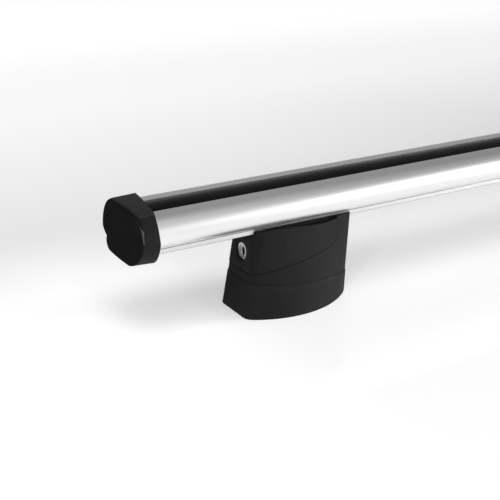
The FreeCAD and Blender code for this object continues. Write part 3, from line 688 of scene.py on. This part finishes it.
def mark_keyway_shade(cylinder, low, high):
    """Put the second finish, a dark rubber, on the walls and the floor of the cylinder's keyway:
    painted shade in the recess.
    """
    outer_face = max(abs(low.x), abs(high.x))
    axis_height = (low.z + high.z) / 2
    for polygon in cylinder.data.polygons:
        depth = outer_face - abs(polygon.center.x)
        off_axis = Vector((polygon.center.y, polygon.center.z - axis_height)).length
        if KEYWAY_SHADE_DEPTHS[0] < depth < KEYWAY_SHADE_DEPTHS[1] and off_axis < KEYWAY_SHADE_RADIUS:
            polygon.material_index = 1


class CROSSBAR_OT_locks(bpy.types.Operator):
    """Finish the locks: bezel, cylinder, cam and screw"""
    bl_idname = "crossbar.locks"
    bl_label = "Make the locks"

    def execute(self, context):
        colours = context.scene.crossbar_colours
        bezel = lock_metal("lock bezel metal", colours.lock)
        # The cylinder takes a darker copy of the lock metal: painted shade in its recess.
        shaded_core = lock_metal("lock cylinder painted shade metal", shade(colours.lock, 0.9))
        # The keyway's walls and floor take a dark rubber: painted shade inside the recess.
        keyway_shade = soft_rubber("lock keyway painted shade", colours.boot, gloss=0.1)
        spring = zinc_plate("spring steel", shade(colours.zinc, 0.8))
        screw = zinc_plate("cam screw steel", colours.zinc)
        for side in SIDES:
            sleeve = softened(f"{side}_lock_sleeve", f"{side}_lock_face", 0.0003, bezel, segments=3)
            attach(sleeve, f"{side}_cover")
            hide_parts(f"{side}_lock_sleeve")
            cylinder = softened(f"{side}_lock_cylinder", f"{side}_lock_core", 0.0001, shaded_core)
            cylinder.data.materials.append(keyway_shade)
            low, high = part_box(f"{side}_lock_cylinder")
            mark_keyway_shade(cylinder, low, high)
            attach(cylinder, f"{side}_lock")
            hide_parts(f"{side}_lock_cylinder")
            dress(f"{side}_lock_cam", spring)
            dress(f"{side}_lock_clip", spring)
            dress(f"{side}_lock_screw", screw)
        return {"FINISHED"}


class CROSSBAR_OT_fixings(bpy.types.Operator):
    """Finish the brackets, bolts, washers, nuts and screws inside the feet"""
    bl_idname = "crossbar.fixings"
    bl_label = "Finish the fixings"

    def execute(self, context):
        zinc = context.scene.crossbar_colours.zinc
        plate = zinc_plate("bracket zinc", zinc, (0.15, 1, 1))
        washer = zinc_plate("washer zinc", shade(zinc, 1.05))
        nut = zinc_plate("slot nut steel", shade(zinc, 0.9), (0.2, 1, 1))
        bolt = threaded_steel("clamp bolt steel", zinc, 0.001, "Z")
        screw = threaded_steel("bracket screw steel", zinc, 0.0012, "X")
        for side in SIDES:
            dress(f"{side}_foot_bracket", plate)
            dress(f"{side}_clamp_washers", washer)
            dress(f"{side}_slot_nut", nut)
            dress(f"{side}_clamp_bolts", bolt)
            dress(f"{side}_bracket_screws", screw)
        return {"FINISHED"}


SOFTBOXES = {
    "side_softbox": {"place": (3.9, -2.1, 0.5), "target": (-0.5, 0, 0.05), "size": (1.8, 1.0)},
    "top_softbox": {"place": (-0.95, -0.9, 2.2), "target": (-0.5, 0, 0), "size": (1.2, 1.2)},
    "edge_strip": {"place": (-2.4, -1.5, 0.9), "target": (-0.6, 0, 0.08), "size": (0.25, 1.2)},
}
TABLE_SIZE = 14
TABLE_REACH = (-0.4, 1.6)
# Painted light: the table's glow along its depth, tuned to the floor's light and shade.
TABLE_PAINTED_GLOW = ((-0.38, -0.04), (-0.25, 0.12), (-0.13, 0.1), (-0.07, 0.08), (0, 0.1), (0.08, 0.12),
              (0.15, 0.08), (0.23, 0.06), (0.32, 0.13), (0.45, 0.22), (0.65, 0.38), (0.8, 0.43),
              (1.1, 0.61), (1.5, 0.68))
# Painted light at the left of the foot, which lifts the shadow there.
SHADOW_FILL_GLOW = {"glow": 0.16, "x": (-0.61, -0.5), "y": (0.09, 0.2)}
ROOM = {"window": 0.43, "high_ceiling": 0.3, "low_ceiling": 0.45, "wall": 0.8,
        "left_share": 0.2, "far_right_share": 0.6}


def softbox(name, place, target, size, power):
    """An area light that faces a target."""
    select_none()
    bpy.ops.object.light_add(type="AREA", location=place)
    light = bpy.context.object
    light.name = name
    light.data.shape = "RECTANGLE"
    light.data.size, light.data.size_y = size
    light.data.energy = power
    light.rotation_euler = (Vector(target) - Vector(place)).to_track_quat("-Z", "Y").to_euler()


def studio_table(colour, glow):
    """A glossy white table whose glow is painted light: brightest where it runs back, with a dip
    just behind the bar, and more in a patch at the left that lightens the shadow beside the foot.
    """
    select_none()
    bpy.ops.mesh.primitive_plane_add(size=TABLE_SIZE, location=(0, 0, 0))
    table = bpy.context.object
    table.name = "studio_table"
    finish = Finish("studio table")
    cloud = finish.noise(0.8, 2, 0.5)
    finish.base(cloud, [(0.3, shade(colour, 0.99)), (0.7, shade(colour, 1.01))])
    place = finish.node("ShaderNodeSeparateXYZ")
    finish.link(finish.coordinates, place.inputs["Vector"])
    back = finish.span(place.outputs["Y"], 0, 1, TABLE_REACH)
    near, far = TABLE_REACH
    stops = [((y - near) / (far - near), (glow + more,) * 3) for y, more in TABLE_PAINTED_GLOW]
    # The patch of painted light at the left of the foot.
    corner = finish.node("ShaderNodeMath", operation="MULTIPLY")
    finish.link(finish.span(place.outputs["X"], SHADOW_FILL_GLOW["glow"], 0, SHADOW_FILL_GLOW["x"]), corner.inputs[0])
    finish.link(finish.span(place.outputs["Y"], 1, 0, SHADOW_FILL_GLOW["y"]), corner.inputs[1])
    lit = finish.node("ShaderNodeMath", operation="ADD")
    finish.link(finish.ramp(back, stops), lit.inputs[0])
    finish.link(corner.outputs[0], lit.inputs[1])
    finish.link(lit.outputs[0], finish.shader.inputs["Emission Strength"])
    finish.set(Roughness=0.5, Specular_IOR_Level=0.1, Emission_Color=(1, 1, 1, 1),
               Coat_Weight=1.0, Coat_Roughness=0.04, Coat_IOR=1.25)
    wear(table, finish.material)


def studio_room(world, brightness):
    """A room that is brightest in front on the right, dark on the left and pale at the back."""
    tree = world.node_tree
    sky = tree.nodes["Background"]
    sky.inputs["Color"].default_value = (1, 1, 1, 1)
    place = tree.nodes.new("ShaderNodeSeparateXYZ")
    direction = tree.nodes.new("ShaderNodeTexCoord").outputs["Generated"]
    tree.links.new(direction, place.inputs["Vector"])

    def fade(axis, source, low, high):
        span = tree.nodes.new("ShaderNodeMapRange")
        span.interpolation_type = "SMOOTHSTEP"
        for key, number in zip(RANGE_SOCKETS, (*source, low, high)):
            span.inputs[key].default_value = number
        tree.links.new(place.outputs[axis], span.inputs["Value"])
        return span.outputs["Result"]

    def join(operation, first, second):
        math_node = tree.nodes.new("ShaderNodeMath")
        math_node.operation = operation
        tree.links.new(first, math_node.inputs[0])
        tree.links.new(second, math_node.inputs[1])
        return math_node.outputs["Value"]

    window = join("MULTIPLY", fade("Y", (-0.15, -0.7), 0, ROOM["window"] * brightness),
                  fade("Z", (0.95, 0.25), 0, 1))
    ceiling = fade("Y", (0.9, -0.1), ROOM["high_ceiling"] * brightness,
                   ROOM["low_ceiling"] * brightness)
    side = join("MULTIPLY", fade("X", (-0.35, 0.35), ROOM["left_share"], 1),
                fade("X", (0.45, 0.75), 1, ROOM["far_right_share"]))
    right = join("MULTIPLY", join("ADD", window, ceiling), side)
    wall = join("MULTIPLY", fade("Z", (0.02, 0.32), ROOM["wall"], 0), fade("Y", (-0.1, 0.3), 0, 1))
    tree.links.new(join("MAXIMUM", right, wall), sky.inputs["Strength"])


class CROSSBAR_OT_stage(bpy.types.Operator):
    """Make the floor, the lights, the sky and the camera"""
    bl_idname = "crossbar.stage"
    bl_label = "Make the stage"

    def execute(self, context):
        scene = context.scene
        stage = scene.crossbar_stage
        studio_table(scene.crossbar_colours.floor, stage.table)
        powers = (stage.key, stage.top, stage.edge)
        for (name, setting), power in zip(SOFTBOXES.items(), powers):
            softbox(name, power=power, **setting)
        world = scene.world or bpy.data.worlds.new("studio")
        scene.world = world
        world.use_nodes = True
        studio_room(world, stage.sky)
        scene.view_settings.view_transform = "Standard"
        select_none()
        bpy.ops.object.camera_add(location=stage.eye,
                                  rotation=(math.pi / 2 - stage.pitch, 0, -stage.heading))
        camera = bpy.context.object
        camera.data.lens = stage.focal
        camera.data.sensor_width = 36
        camera.data.clip_start = 0.01
        scene.camera = camera
        return {"FINISHED"}


class CROSSBAR_PT_panel(bpy.types.Panel):
    """The crossbar's steps and settings"""
    bl_idname = "CROSSBAR_PT_panel"
    bl_label = "Roof Crossbar"
    bl_space_type = "VIEW_3D"
    bl_region_type = "UI"
    bl_category = "Crossbar"

    def draw(self, context):
        layout = self.layout
        for step in STEPS:
            layout.operator(step.bl_idname)
        for group, _ in SETTINGS:
            settings = getattr(context.scene, group)
            box = layout.box()
            for key in settings.__annotations__:
                box.prop(settings, key)


STEPS = (CROSSBAR_OT_bar, CROSSBAR_OT_strip, CROSSBAR_OT_end_caps, CROSSBAR_OT_feet,
         CROSSBAR_OT_locks, CROSSBAR_OT_fixings, CROSSBAR_OT_stage)
SETTINGS = (("crossbar_bar", BarSizes), ("crossbar_colours", FinishColours),
            ("crossbar_stage", StageSettings))


def register():
    for key, group in SETTINGS:
        bpy.utils.register_class(group)
        setattr(bpy.types.Scene, key, bpy.props.PointerProperty(type=group))
    for step in STEPS:
        bpy.utils.register_class(step)
    bpy.utils.register_class(CROSSBAR_PT_panel)


def unregister():
    bpy.utils.unregister_class(CROSSBAR_PT_panel)
    for step in reversed(STEPS):
        bpy.utils.unregister_class(step)
    for key, group in reversed(SETTINGS):
        delattr(bpy.types.Scene, key)
        bpy.utils.unregister_class(group)


def main():
    register()
    select_none()
    bpy.ops.crossbar.bar()
    bpy.ops.crossbar.strip()
    bpy.ops.crossbar.end_caps()
    bpy.ops.crossbar.feet()
    bpy.ops.crossbar.locks()
    bpy.ops.crossbar.fixings()
    bpy.ops.crossbar.stage()


if __name__ == "__main__":
    main()
